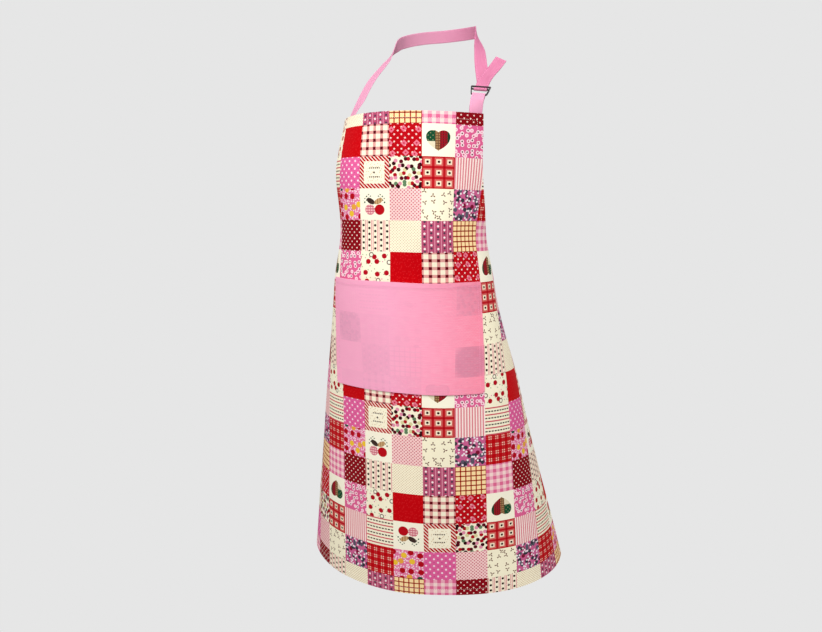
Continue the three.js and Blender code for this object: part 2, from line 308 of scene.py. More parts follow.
# how far a place along a square is from its middle
def fromMiddle(tree, along):
    off = addNode(tree, "Math", along, 0.5, operation="SUBTRACT")[0]
    return addNode(tree, "Math", off, operation="ABSOLUTE")[0]


# inks printed one over the other on a ground colour, each where its mask is one
def inkOver(tree, ground, *layers):
    colour = linear(ground) if isinstance(ground, str) else ground
    for mask, ink in layers:
        over = linear(ink) if isinstance(ink, str) else ink
        colour = addNode(tree, "Mix", data_type="RGBA", named={0: mask, 6: colour, 7: over})[2]
    return colour


def redFleck(tree, square, x, y):
    fleck, chance = strewnSpots(tree, square, count=11.0, looseness=1.0, radius=0.2)
    return inkOver(tree, "#C0000A", (fleck, "#CE1A20"))


def darkGingham(tree, square, x, y):
    upright, level, crossing = checks(tree, x, y, count=4, share=0.4, phase=0.2)
    return inkOver(tree, creamInk, (upright, "#DB9C94"), (level, "#DB9C94"), (crossing, "#620818"))


def redFlowers(tree, square, x, y):
    dots = dotColumns(tree, x, y, columns=9, rows=4.5, radius=0.028)
    lozenges = addNode(tree, "TexVoronoi", named={"Vector": square, "Scale": 2.6, "Randomness": 0.35},
                       voronoi_dimensions="2D", distance="MANHATTAN")["Distance"]
    petals = addNode(tree, "Math", lozenges, 0.27, operation="LESS_THAN")[0]
    heart = addNode(tree, "Math", lozenges, 0.09, operation="LESS_THAN")[0]
    return inkOver(tree, "#B90713", (dots, "#F3D3CA"), (petals, "#E07488"), (heart, "#BE2438"))


heartCut = {
    "location": (-1.52, -1.584, 0), "scale": (3.17, 3.54, 1),
    "levelSeam": 0.05, "tanFrom": -0.3, "redFrom": 0.14, "greenFrom": 0.86,
}


# a heart from its implicit curve, pieced from dotted green, plain cream, tan check and red plaid
def heartPatch(tree, square, x, y):
    centred = addNode(tree, "Mapping", named={
        "Vector": square, "Location": heartCut["location"], "Scale": heartCut["scale"]})[0]
    hx, hy = addNode(tree, "SeparateXYZ", centred)[:2]
    xx = addNode(tree, "Math", hx, hx, operation="MULTIPLY")[0]
    radius = addNode(tree, "Math", hy, hy, xx, operation="MULTIPLY_ADD")[0]
    body = addNode(tree, "Math", radius, 1.0, operation="SUBTRACT")[0]
    cubed = addNode(tree, "Math", body, 3.0, operation="POWER")[0]
    yyy = addNode(tree, "Math", hy, 3.0, operation="POWER")[0]
    lobes = addNode(tree, "Math", xx, yyy, operation="MULTIPLY")[0]
    inside = addNode(tree, "Math", cubed, lobes, operation="LESS_THAN")[0]
    dots = dotColumns(tree, x, y, columns=14, rows=7, radius=0.014)
    upright, level = (bars(tree, along, count=13, share=0.4) for along in (x, y))
    tan = inkOver(tree, "#A98558", (upright, "#7E5A3C"), (level, "#6E4A30"))
    red = inkOver(tree, "#A3101E", (upright, "#6C0E18"), (level, "#7E2026"))
    lower = addNode(tree, "Math", hy, heartCut["levelSeam"], operation="LESS_THAN")[0]
    fromTan = addNode(tree, "Math", hx, heartCut["tanFrom"], operation="GREATER_THAN")[0]
    fromRed = addNode(tree, "Math", hx, heartCut["redFrom"], operation="GREATER_THAN")[0]
    fromGreen = addNode(tree, "Math", hx, heartCut["greenFrom"], operation="GREATER_THAN")[0]
    pieced = inkOver(tree, "#154A2E", (dots, "#A9A374"), (lower, "#E3D8B8"), (fromTan, tan), (fromRed, red),
                     (fromGreen, "#183E28"))
    return inkOver(tree, "#FAF3DC", (inside, pieced))


def pinkDaisies(tree, square, x, y):
    distance, chance, place = strewn(tree, square, count=6.2, looseness=0.75)
    petals = addNode(tree, "Math", distance, 0.37, operation="LESS_THAN")[0]
    eye = addNode(tree, "Math", distance, 0.16, operation="LESS_THAN")[0]
    eyeInk = addNode(tree, "ValToRGB", chance, stops=(
        (0.0, "#EFB0C0"), (0.35, "#5A0E24"), (0.75, "#C04068")))[0]
    return inkOver(tree, "#DC6090", (petals, "#F9D8DE"), (eye, eyeInk))


def ringsAndBerries(tree, square, x, y):
    distance, chance, place = strewn(tree, square, count=3.3, looseness=0.75)
    berry = addNode(tree, "Math", distance, 0.27, operation="LESS_THAN")[0]
    middle = addNode(tree, "Math", distance, 0.16, operation="LESS_THAN")[0]
    isRing = addNode(tree, "Math", chance, 0.5, operation="LESS_THAN")[0]
    hole = addNode(tree, "Math", middle, isRing, operation="MULTIPLY")[0]
    berryInk = inkOver(tree, "#AE0A1E", (isRing, "#756C60"))
    fleck, luck = strewnSpots(tree, square, count=7.0, looseness=1.0, radius=0.15, shift=0.4)
    fleckInk = addNode(tree, "ValToRGB", luck, stops=(
        (0.0, "#9DB48E"), (0.5, "#DC8CA2"), (0.75, creamInk)))[0]
    return inkOver(tree, creamInk, (fleck, fleckInk), (berry, berryInk), (hole, "#F8F1DA"))


def pinkDots(tree, square, x, y):
    large = dotColumns(tree, x, y, columns=8, rows=4, radius=0.034)
    small = dotColumns(tree, x, y, columns=8, rows=4, radius=0.02, phase=0.5)
    return inkOver(tree, "#E05F98", (small, "#BC4E88"), (large, "#F8DAE4"))


frameCut = {"border": 0.35, "lineUp": 0.14, "lineHalf": 0.022, "lineReach": 0.19, "lozenge": 0.04}


# a slanting-striped border round two short lines of plain marks with a lozenge between them; the stripes are
# drawn coarser than the real ones, which are too fine to show
def twillFrame(tree, square, x, y):
    slant = addNode(tree, "Math", x, y, operation="ADD")[0]
    borderInk = inkOver(tree, "#F6E0D0", (bars(tree, slant, count=8, share=0.62), "#B20410"))
    sideX, sideY = (fromMiddle(tree, along) for along in (x, y))
    reach = addNode(tree, "Math", sideX, sideY, operation="MAXIMUM")[0]
    border = addNode(tree, "Math", reach, frameCut["border"], operation="GREATER_THAN")[0]
    speck, chance = strewnSpots(tree, square, count=10.0, looseness=1.0, radius=0.14)
    line = addNode(tree, "Math", sideY, frameCut["lineUp"], frameCut["lineHalf"], operation="COMPARE")[0]
    short = addNode(tree, "Math", sideX, frameCut["lineReach"], operation="LESS_THAN")[0]
    marks = bars(tree, x, count=15, share=0.62)
    for mask in (line, short):
        marks = addNode(tree, "Math", marks, mask, operation="MULTIPLY")[0]
    across = addNode(tree, "Math", sideX, sideY, operation="ADD")[0]
    lozenge = addNode(tree, "Math", across, frameCut["lozenge"], operation="LESS_THAN")[0]
    return inkOver(tree, "#F9F0D5", (speck, "#CBA87C"), (marks, "#4E3A34"), (lozenge, "#4E3A34"),
                   (border, borderInk))


def berries(tree, square, x, y):
    berry, chance = strewnSpots(tree, square, count=7.4, looseness=0.9, radius=0.46)
    inks = addNode(tree, "ValToRGB", chance, stops=(
        (0.0, "#330A10"), (0.3, "#AA0A1C"), (0.5, "#DE8CA4"), (0.62, "#5F7F5C"), (0.72, "#D8CE9A"),
        (0.82, "#560A1A")))[0]
    return inkOver(tree, "#F7EDD2", (berry, inks))


def redWindows(tree, square, x, y):
    count = 3
    shifted = addNode(tree, "VectorMath", square, (0.5 / count, 0.5 / count, 0), operation="ADD")[0]
    named = {"Vector": shifted, "Scale": float(count), "Randomness": 0.0}
    pane = addNode(tree, "TexVoronoi", named=named, voronoi_dimensions="2D", distance="CHEBYCHEV")["Distance"]
    dot = addNode(tree, "TexVoronoi", named=named, voronoi_dimensions="2D")["Distance"]
    border = addNode(tree, "Math", pane, 0.37, operation="LESS_THAN")[0]
    window = addNode(tree, "Math", pane, 0.23, operation="LESS_THAN")[0]
    spot = addNode(tree, "Math", dot, 0.12, operation="LESS_THAN")[0]
    upright, level, crossing = checks(tree, x, y, count, share=0.2, phase=0.1)
    return inkOver(tree, "#C23236", (upright, "#B81820"), (level, "#B81820"), (crossing, "#A40614"),
                   (border, "#CF665E"), (window, "#F5E2C4"), (spot, "#2A1014"))


def pinkStripes(tree, square, x, y):
    return inkOver(tree, "#F9E6DE", (bars(tree, x, count=11, share=0.5), "#DE808A"))


def dashLines(tree, square, x, y):
    line = bars(tree, y, count=4.5, share=0.2)
    dashRow = bars(tree, y, count=4.5, share=0.2, phase=0.5)
    dash = addNode(tree, "Math", dashRow, bars(tree, x, count=9, share=0.72), operation="MULTIPLY")[0]
    return inkOver(tree, creamInk, (line, "#CC5660"), (dash, "#3E322C"))


def fruit(tree, square, x, y):
    dots, luck = strewnSpots(tree, square, count=12.0, looseness=0.9, radius=0.3, shift=0.3)
    whole, chance = strewnSpots(tree, square, count=3.4, looseness=0.45, radius=0.33, shift=1.7)
    inks = addNode(tree, "ValToRGB", chance, stops=(
        (0.0, "#ECBE34"), (0.2, "#B0081A"), (0.54, "#164A36"), (0.76, "#E6A23E")))[0]
    return inkOver(tree, "#E2769E", (dots, "#F6DCE2"), (whole, inks))


cherryCut = {
    "ballAcross": (0.34, 0.66), "ballUp": 0.33, "ballRadius": 0.165,
    "leaves": ((0.37, -0.5), (0.63, 0.5)),  # place across, slope
    "leafUp": 0.6, "leafSize": (0.15, 0.085, 1),
    "sprayMiddle": (0.5, 0.46, 0), "sprayRadius": 0.36, "sprayHalf": 0.05, "sprayFrom": 0.52, "sprayGap": 0.1,
}


# two plain cherries under a pair of leaves, between sprays of small green dots
def cherryPair(tree, square, x, y):
    cut = cherryCut
    balls = []
    for across in cut["ballAcross"]:
        spot = (across, cut["ballUp"], 0)
        distance = addNode(tree, "VectorMath", square, spot, operation="DISTANCE")["Value"]
        balls.append(addNode(tree, "Math", distance, cut["ballRadius"], operation="LESS_THAN")[0])
    leaves = []
    for across, slope in cut["leaves"]:
        turned = addNode(tree, "Mapping", vector_type="TEXTURE", named={
            "Vector": square, "Location": (across, cut["leafUp"], 0), "Rotation": (0, 0, slope),
            "Scale": cut["leafSize"]})[0]
        reach = addNode(tree, "VectorMath", turned, operation="LENGTH")["Value"]
        leaves.append(addNode(tree, "Math", reach, 1.0, operation="LESS_THAN")[0])
    distance = addNode(tree, "VectorMath", square, cut["sprayMiddle"], operation="DISTANCE")["Value"]
    ring = addNode(tree, "Math", distance, cut["sprayRadius"], cut["sprayHalf"], operation="COMPARE")[0]
    above = addNode(tree, "Math", y, cut["sprayFrom"], operation="GREATER_THAN")[0]
    outer = addNode(tree, "Math", fromMiddle(tree, x), cut["sprayGap"], operation="GREATER_THAN")[0]
    spray = dotColumns(tree, x, y, columns=15, rows=8, radius=0.026)
    for mask in (ring, above, outer):
        spray = addNode(tree, "Math", spray, mask, operation="MULTIPLY")[0]
    upright, level = (bars(tree, along, count=12, share=0.5) for along in (x, y))
    check = inkOver(tree, "#F2CEC8", (upright, "#DB8A92"), (level, "#CC6E7C"))
    tan = inkOver(tree, "#CBAA7A", (upright, "#A87A4E"))
    return inkOver(tree, "#FAF3DC", (spray, "#225038"), (leaves[0], "#3E2C26"), (leaves[1], tan),
                   (balls[0], check), (balls[1], "#B60A18"))


def tinyCheck(tree, square, x, y):
    dots = dotColumns(tree, x, y, columns=18, rows=9, radius=0.024)
    return inkOver(tree, "#F8D0CC", (dots, "#C6606E"))


# small sprigs of three leaves, each turned its own way
def sprigs(tree, square, x, y):
    distance, chance, place = strewn(tree, square, count=3.9, looseness=0.7)
    offset = addNode(tree, "VectorMath", square, place, operation="SUBTRACT")[0]
    ox, oy = addNode(tree, "SeparateXYZ", offset)[:2]
    bearing = addNode(tree, "Math", oy, ox, operation="ARCTAN2")[0]
    turned = addNode(tree, "Math", chance, math.tau, bearing, operation="MULTIPLY_ADD")[0]
    waves = addNode(tree, "Math", turned, 3.0, operation="MULTIPLY")[0]
    lobes = addNode(tree, "Math", waves, operation="COSINE")[0]
    reach = addNode(tree, "Math", lobes, 0.2, 0.11, operation="MULTIPLY_ADD")[0]
    leaf = addNode(tree, "Math", distance, reach, operation="LESS_THAN")[0]
    return inkOver(tree, "#F9F0D2", (leaf, "#6A4038"))


def darkFlowers(tree, square, x, y):
    flower, chance = strewnSpots(tree, square, count=6.6, looseness=1.0, radius=0.46)
    petals = addNode(tree, "ValToRGB", chance, stops=(
        (0.0, "#36343E"), (0.4, "#C8608E"), (0.54, "#5A5464"), (0.74, "#7C1230"), (0.82, "#3A3842")))[0]
    small, luck = strewnSpots(tree, square, count=8.0, looseness=1.0, radius=0.27, shift=0.7)
    some = addNode(tree, "Math", luck, 0.3, operation="GREATER_THAN")[0]
    white = addNode(tree, "Math", small, some, operation="MULTIPLY")[0]
    return inkOver(tree, "#C85E8C", (flower, petals), (white, "#F0E2E6"))


def redPlaid(tree, square, x, y):
    doubleLines = []
    for along in (x, y):
        pair = [bars(tree, along, count=4, share=0.15, phase=phase) for phase in (0.3, 0.58)]
        doubleLines.append(addNode(tree, "Math", *pair, operation="ADD")[0])
    upright, level = doubleLines
    crossing = addNode(tree, "Math", upright, level, operation="MULTIPLY")[0]
    return inkOver(tree, "#B8020C", (upright, "#C02C30"), (level, "#C02C30"), (crossing, "#F6CDB6"))


def maroonDots(tree, square, x, y):
    dots = dotColumns(tree, x, y, columns=10, rows=5, radius=0.024)
    return inkOver(tree, "#860814", (dots, "#F4D2C6"))


def dotStripes(tree, square, x, y):
    first, second = (bars(tree, x, count=5, share=0.13, phase=phase) for phase in (0.2, -0.07))
    dots = dotColumns(tree, x, y, columns=5, rows=5.4, radius=0.041)
    return inkOver(tree, creamInk, (first, "#DC8890"), (second, "#DC8890"), (dots, "#2A1010"))


def tinyDots(tree, square, x, y):
    dots = dotColumns(tree, x, y, columns=22, rows=11, radius=0.017)
    return inkOver(tree, "#F9F1D4", (dots, "#D2AE90"))


def mauveStripes(tree, square, x, y):
    lines = bars(tree, x, count=5, share=0.14, phase=0.07)
    pale = dotColumns(tree, x, y, columns=5, rows=4.2, radius=0.036)
    dark = dotColumns(tree, x, y, columns=5, rows=4.2, radius=0.036, phase=0.42)
    return inkOver(tree, "#B44E6E", (lines, "#DA8EA2"), (dark, "#4A3A4A"), (pale, "#F2DEDE"))


def yellowPlaid(tree, square, x, y):
    upright, level, crossing = checks(tree, x, y, count=6, share=0.24, phase=0.1)
    return inkOver(tree, "#FCDEA4", (upright, "#B43018"), (level, "#A02412"), (crossing, "#6A100A"))


def pinkGingham(tree, square, x, y):
    upright, level, crossing = checks(tree, x, y, count=4.2, share=0.5)
    return inkOver(tree, "#F8D8D0", (upright, "#EFAABA"), (level, "#EFAABA"), (crossing, "#DE6890"))


prints = {draw.__name__: draw for draw in (
    redFleck, darkGingham, redFlowers, heartPatch, pinkDaisies, ringsAndBerries, pinkDots, twillFrame,
    berries, redWindows, pinkStripes, dashLines, fruit, cherryPair, tinyCheck, sprigs, darkFlowers, redPlaid,
    maroonDots, dotStripes, tinyDots, mauveStripes, yellowPlaid, pinkGingham,
)}

# plain-woven cotton: matt, with a faint fuzz at grazing light, and threads about 0.35 mm apart, which are
# drawn at 0.8 mm because the real ones are too fine to show
cottonWeave = {
    "threadGap": 0.8, "wander": 0.8, "wanderDetail": 0.3, "height": 0.12, "strength": 0.35,
    "wornPatch": 22.222, "shade": 0.1, "darkest": 0.45, "roughness": 0.9, "fuzz": 0.02, "gloss": 0.04,
}
waveTurns = 20 / math.tau  # bands that a wave texture draws to a unit of its scale


def finishCotton(tree, colour):
    weaving = cottonWeave
    flat = addNode(tree, "UVMap", uv_map="cloth")[0]
    scale = 1 / (waveTurns * weaving["threadGap"] * mm)
    threads = []
    for direction in ("X", "Y"):
        named = {"Vector": flat, "Scale": scale, "Distortion": weaving["wander"], "Detail": 1.0,
                 "Detail Scale": weaving["wanderDetail"]}
        threads.append(addNode(tree, "TexWave", named=named, bands_direction=direction)["Fac"])
    weave = addNode(tree, "Math", *threads, operation="MULTIPLY")[0]
    worn = addNode(tree, "TexNoise", named={
        "Vector": flat, "Scale": 1 / (weaving["wornPatch"] * mm), "Detail": 3.0})["Fac"]
    both = addNode(tree, "Math", weave, worn, operation="ADD")[0]
    tone = addNode(tree, "Math", both, 0.5, weaving["darkest"], operation="MULTIPLY_ADD")[0]
    shade = addNode(tree, "Mix", data_type="RGBA", blend_type="MULTIPLY",
                    named={0: weaving["shade"], 6: colour, 7: tone})[2]
    bump = addNode(tree, "Bump", named={
        "Strength": weaving["strength"], "Distance": weaving["height"] * mm, "Height": weave})[0]
    cotton = addNode(tree, "BsdfPrincipled", named={
        "Base Color": shade, "Roughness": weaving["roughness"], "Sheen Weight": weaving["fuzz"],
        "Specular IOR Level": weaving["gloss"], "Normal": bump})[0]
    addNode(tree, "OutputMaterial", cotton)


# pink cotton: pale passing to deeper along one axis of the flat cloth, with uneven threads of a paler tone
def gradedPinkCotton(tree, pinkTones):
    flat = addNode(tree, "UVMap", uv_map="cloth")[0]
    deeper = addNode(tree, "MapRange", addNode(tree, "SeparateXYZ", flat)[pinkTones["axis"]],
                     *(place * mm for place in pinkTones["deepens"]), 0.0, 1.0)[0]
    slubScale = [1 / (size * mm) for size in pinkTones["slubSize"]]
    stretched = addNode(tree, "Mapping", named={"Vector": flat, "Scale": (*slubScale, 1)})[0]
    slub = addNode(tree, "TexNoise", named={"Vector": stretched, "Scale": 1.0, "Detail": 2.0})["Fac"]
    uneven = addNode(tree, "MapRange", slub, *pinkTones["slubRange"], 0.0, pinkTones["slubShare"])[0]
    return inkOver(tree, pinkTones["pale"], (deeper, pinkTones["deep"]), (uneven, pinkTones["slub"]))


def startMaterial(name):
    material = bpy.data.materials.new(name)
    material.use_nodes = True
    material.node_tree.nodes.clear()
    return material, material.node_tree


# each square's ink sits on one side of the cloth and shows only weakly on the other
def printedCotton(name):
    material, tree = startMaterial("printedCotton_" + name)
    square = addNode(tree, "UVMap", uv_map="square")[0]
    x, y = addNode(tree, "SeparateXYZ", square)[:2]
    colour = prints[name](tree, square, x, y)
    wrongSide = addNode(tree, "Attribute", attribute_name="wrongSide")["Fac"]
    faded = addNode(tree, "Math", wrongSide, wornCloth["backFade"], operation="MULTIPLY")[0]
    finishCotton(tree, inkOver(tree, colour, (faded, wornCloth["backInk"])))
    return material


print("prints charted")


# half of the cloth's width less a hem measured square to the slanting edge, up to a limit
def hemmedHalf(down, inset):
    down = np.atleast_1d(np.asarray(down, float))
    slope = (halfWidth(down + 1.0) - halfWidth(np.maximum(down - 1.0, 0.0))) / 2
    return halfWidth(down) - inset * np.minimum(np.hypot(1, slope), wornCloth["hemSpread"])


# the printed cloth: a flat grid on the squares' lines, cut to the apron's outline and hung

# selects the faces whose middle is chosen
def selectFaces(piece, chosen):
    mesh = bmesh.from_edit_mesh(piece.data)
    for face in mesh.faces:
        face.select = bool(chosen(face.calc_center_median()))
    mesh.select_flush_mode()
    bmesh.update_edit_mesh(piece.data)


# cuts the chosen faces along the line between two points, in millimetres
def cutAlong(piece, start, end, chosen):
    selectFaces(piece, chosen)
    normal = (end - start).to_2d().orthogonal().normalized().to_3d()
    bpy.ops.mesh.bisect(plane_co=start, plane_no=normal, threshold=0.005)


def dropFaces(piece, chosen):
    selectFaces(piece, chosen)
    bpy.ops.mesh.delete(type="FACE")


def everywhere(middle):
    return True


# a flat grid from one column and row of the squares to another, left in edit mode
def squareGrid(name, columns, rows):
    squares = printedSquares
    left, right = ((column - squares["startColumn"]) * squares["wide"] for column in columns)
    top, bottom = ((squares["startRow"] - row) * squares["tall"] for row in rows)
    deselectAll()
    bpy.ops.mesh.primitive_grid_add(
        x_subdivisions=(columns[1] - columns[0]) * squares["cells"],
        y_subdivisions=(rows[1] - rows[0]) * squares["cells"],
        size=1, location=((left + right) / 2, (top + bottom) / 2, 0))
    grid = bpy.context.object
    grid.name = name
    grid.scale = (right - left, top - bottom, 1)
    bpy.ops.object.transform_apply(location=True, rotation=True, scale=True)
    bpy.ops.object.mode_set(mode="EDIT")
    bpy.ops.mesh.select_mode(type="FACE")
    return grid


# distances down at which the grid's rows cross the armholes, from the top edge to just below them
def armholeLines():
    step = printedSquares["tall"] / printedSquares["cells"]
    first = -printedSquares["startRow"] * printedSquares["tall"] % step
    armholeEnd = wornCloth["sideEdge"][-2][0]
    return np.array([0.0, *np.arange(first, armholeEnd + 2 * step, step)])


# the flat cloth, cut along its outline and along both lines of its hems
def cutCloth():
    cloth = squareGrid("apronCloth", wornCloth["columns"], wornCloth["rows"])
    length = wornCloth["length"]
    hem = wornCloth["hemWide"]
    lines = armholeLines()
    for inset in (0, hem, hem + wornCloth["hemStep"]):
        for y in (-inset, inset - length):
            cutAlong(cloth, Vector((-1, y, 0)), Vector((1, y, 0)), everywhere)
        halves = hemmedHalf(lines, inset)
        for side in (-1, 1):
            edge = side * (wornCloth["skirtHalf"] - inset)
            cutAlong(cloth, Vector((edge, 0, 0)), Vector((edge, -1, 0)), lambda middle: middle.y < -lines[-1])
            for k in range(len(lines) - 1):
                start, end = (Vector((side * halves[i], -lines[i], 0)) for i in (k, k + 1))
                cutAlong(cloth, start, end,
                         lambda middle: -lines[k + 1] < middle.y < -lines[k] and middle.x * side > 0)
    halves = halfWidth(lines)
    dropFaces(cloth, lambda middle: not -length < middle.y < 0
              or abs(middle.x) > np.interp(-middle.y, lines, halves))
    bpy.ops.object.mode_set(mode="OBJECT")
    return cloth


def meshPoints(data):
    points = np.zeros(len(data.vertices) * 3)
    data.vertices.foreach_get("co", points)
    return points.reshape(-1, 3)


def setMeshPoints(data, points):
    data.vertices.foreach_set("co", np.asarray(points, np.float32).ravel())
    data.update()


# a map of the flat cloth in metres, which carries the weave
def mapFlatCloth(data):
    flat = meshPoints(data)[:, :2] * mm
    clothMap = data.uv_layers.new(name="cloth")
    corners = np.zeros(len(data.loops), int)
    data.loops.foreach_get("vertex_index", corners)
    clothMap.uv.foreach_set("vector", flat[corners].astype(np.float32).ravel())


# prints each square: its material, and a map that runs from nought to one over it
def printSquares(piece, cottonFor):
    data = piece.data
    squares = printedSquares
    slots = {}
    squareMap = data.uv_layers.new(name="square")
    for face in data.polygons:
        column = math.floor(squares["startColumn"] + face.center.x / squares["wide"])
        row = math.floor(squares["startRow"] - face.center.y / squares["tall"])
        chartRow = (row - 1) % len(printChart)
        name = printChart[chartRow][column % len(printChart[0])]
        if name not in slots:
            slots[name] = len(slots)
            data.materials.append(cottonFor(name))
        face.material_index = slots[name]
        for corner in face.loop_indices:
            spot = data.vertices[data.loops[corner].vertex_index].co
            u = squares["startColumn"] + spot.x / squares["wide"] - column
            v = 1 - (squares["startRow"] - spot.y / squares["tall"] - row)
            if chartRow in turnedRows:
                u, v = 1 - u, 1 - v
            squareMap.uv[corner].vector = (u, v)


# hangs a flat sheet and gives it its thickness: its points, the flat point that each comes from, whether each
# lies on the outer side, and the outward direction there
def hangSheet(piece, across, down, lift, thick):
    spots, out = hungPoints(across, down, lift)
    middle = inFrame(spots)
    setMeshPoints(piece.data, middle)
    applyModifier(piece, "SOLIDIFY", thickness=thick * mm, offset=0.0)
    points = meshPoints(piece.data)
    origin = np.arange(len(points)) % len(middle)
    outer = ((points - middle[origin]) * out[origin]).sum(1) > 0
    return points, origin, outer, out[origin]


def shadeRound(piece):
    makeActive(piece)
    bpy.ops.object.shade_smooth_by_angle(angle=smoothBelow)


def hangCloth():
    cloth = cutCloth()
    print("cloth cut:", len(cloth.data.polygons), "faces")
    mapFlatCloth(cloth.data)
    printSquares(cloth, printedCotton)
    flat = meshPoints(cloth.data)
    across, down = flat[:, 0], -flat[:, 1]
    hem = wornCloth["hemWide"] + hair
    lines = armholeLines()
    inHem = (down < hem) | (down > wornCloth["length"] - hem)
    inHem |= np.abs(across) > np.interp(down, lines, hemmedHalf(lines, hem))
    points, origin, outer, out = hangSheet(cloth, across, down, 0.0, wornCloth["thick"])
    turnedIn = ~outer & inHem[origin]  # the hem is folded to the back, so it stands up there
    points[turnedIn] -= out[turnedIn] * wornCloth["hemExtra"] * mm
    setMeshPoints(cloth.data, points)
    wrongSide = cloth.data.attributes.new("wrongSide", "FLOAT", "FACE")
    for face in cloth.data.polygons:
        corners = list(face.vertices)
        onBack = not outer[corners].any()
        wrongSide.data[face.index].value = float(onBack and not inHem[origin[corners]].all())
    shadeRound(cloth)
    return cloth


apronCloth = hangCloth()
print("cloth hung")


# the pocket: sewn down at its sides and bottom, standing off the cloth at its mouth

pocketCut = {
    "middle": 20, "halfWide": 134, "top": 253, "topDrop": 3, "bottom": 428, "corner": 7, "chords": 6,
    "columns": (-1, 5), "rows": (5, 10), "thick": 0.9, "hemWide": 9, "hemExtra": 0.15, "hemStep": 1,
    "sewnLift": 1.2, "mouthLift": 11, "fallAcross": 1.5, "fallDown": 1.2,
    "pinkTones": {"pale": "#FCA9C8", "deep": "#FA879F", "axis": "X", "deepens": (0, 150), "slub": "#FDBCCE",
            "slubSize": (16.667, 1.111), "slubRange": (0.35, 0.7), "slubShare": 0.35},
    # painted show-through of the prints behind: its ink, its crisp and soft shares, its reach, and its
    # strength off and on the cloth
    "paintedShowThrough": {"ink": "#76647E", "crisp": 0.2, "soft": 0.8, "softReach": (0.74, 0.42), "off": 0.15,
                "on": 0.55},
    # how dark the prints behind are as a whole, where they are dark enough for the painted show-through
    "behind": {"maroonDots": 0.6, "darkFlowers": 0.3, "berries": 0.35, "mauveStripes": 0.1,
               "darkGingham": 0.1},
}


# thin pink cotton with uneven weft threads; painted show-through: dark inks behind it, blurred, where it lies
# on them
def pinkPocketCotton(name):
    material, tree = startMaterial("pinkPocketCotton_" + name)
    paintedShowThrough = pocketCut["paintedShowThrough"]
    square = addNode(tree, "UVMap", uv_map="square")[0]
    x, y = addNode(tree, "SeparateXYZ", square)[:2]
    pale = addNode(tree, "SeparateColor", prints[name](tree, square, x, y))["Red"]
    crisp = addNode(tree, "Math", 1.0, pale, operation="SUBTRACT")[0]
    distance = addNode(tree, "VectorMath", square, (0.5, 0.5, 0), operation="DISTANCE")["Value"]
    soft = addNode(tree, "MapRange", distance, *paintedShowThrough["softReach"], 0.0,
                   paintedShowThrough["soft"] * pocketCut["behind"].get(name, 0.0), interpolation_type="SMOOTHSTEP")[0]
    dark = addNode(tree, "Math", crisp, paintedShowThrough["crisp"], soft, operation="MULTIPLY_ADD")[0]
    # painted show-through: stronger where the pocket lies on the cloth, fainter where its mouth stands off
    touching = addNode(tree, "Attribute", attribute_name="touching")["Fac"]
    share = addNode(tree, "MapRange", touching, 0.0, 1.0, paintedShowThrough["off"], paintedShowThrough["on"])[0]
    paintedThrough = addNode(tree, "Math", dark, share, operation="MULTIPLY")[0]
    finishCotton(tree, inkOver(tree, gradedPinkCotton(tree, pocketCut["pinkTones"]), (paintedThrough, paintedShowThrough["ink"])))
    return material


# a flat pocket on the lines of the squares behind it, its bottom corners cut round by short chords
def cutPocket():
    pocket = squareGrid("frontPocket", pocketCut["columns"], pocketCut["rows"])
    middle, half, corner = pocketCut["middle"], pocketCut["halfWide"], pocketCut["corner"]
    top, hem, bottom = pocketCut["top"], pocketCut["hemWide"], pocketCut["bottom"]
    for down in (top, top + hem, top + hem + pocketCut["hemStep"], bottom - corner, bottom):
        cutAlong(pocket, Vector((-1, -down, 0)), Vector((1, -down, 0)), everywhere)
    angles = np.radians(np.linspace(0, 90, pocketCut["chords"] + 1))
    for side in (-1, 1):
        centre = Vector((middle + side * (half - corner), corner - bottom, 0))
        for x in (centre.x, middle + side * half):
            cutAlong(pocket, Vector((x, 0, 0)), Vector((x, -1, 0)), everywhere)
        arc = [centre + Vector((side * math.sin(angle), -math.cos(angle), 0)) * corner for angle in angles]
        for start, end in zip(arc, arc[1:]):
            cutAlong(pocket, start, end,
                     lambda spot: (spot.x - centre.x) * side > 0 and spot.y < centre.y)
    chordReach = corner * math.cos(angles[1] / 2)
    dropFaces(pocket, lambda spot: not -bottom < spot.y < -top or abs(spot.x - middle) > half
              or math.hypot(max(abs(spot.x - middle) - half + corner, 0),
                            max(corner - bottom - spot.y, 0)) > chordReach)
    bpy.ops.object.mode_set(mode="OBJECT")
    return pocket


# where a point of the cut pocket lies on the cloth, how far it is lifted off and how closely it touches
def placePocket(across, down):
    u = np.clip((across - pocketCut["middle"]) / pocketCut["halfWide"], -1, 1)
    v = np.clip((down - pocketCut["top"]) / (pocketCut["bottom"] - pocketCut["top"]), 0, 1)
    stand = (1 - u ** 2) ** pocketCut["fallAcross"] * (1 - v) ** pocketCut["fallDown"]
    lowered = down + pocketCut["topDrop"] * (1 + u) / 2 * (1 - v)
    lift = wornCloth["thick"] / 2 + pocketCut["sewnLift"] + pocketCut["mouthLift"] * stand
    return lowered, lift, 1 - stand


def sewPocket():
    pocket = cutPocket()
    mapFlatCloth(pocket.data)
    printSquares(pocket, pinkPocketCotton)
    flat = meshPoints(pocket.data)
    across, down = flat[:, 0], -flat[:, 1]
    lowered, lift, closeness = placePocket(across, down)
    touching = pocket.data.attributes.new("touching", "FLOAT", "POINT")
    touching.data.foreach_set("value", closeness.astype(np.float32))
    points, origin, outer, out = hangSheet(pocket, across, lowered, lift, pocketCut["thick"])
    doubled = outer & (down < pocketCut["top"] + pocketCut["hemWide"] + hair)[origin]
    points[doubled] += out[doubled] * pocketCut["hemExtra"] * mm
    setMeshPoints(pocket.data, points)
    shadeRound(pocket)
    return pocket


frontPocket = sewPocket()
print("pocket sewn on")


# the straps and the slider between them; a station is a point and the way the band faces there

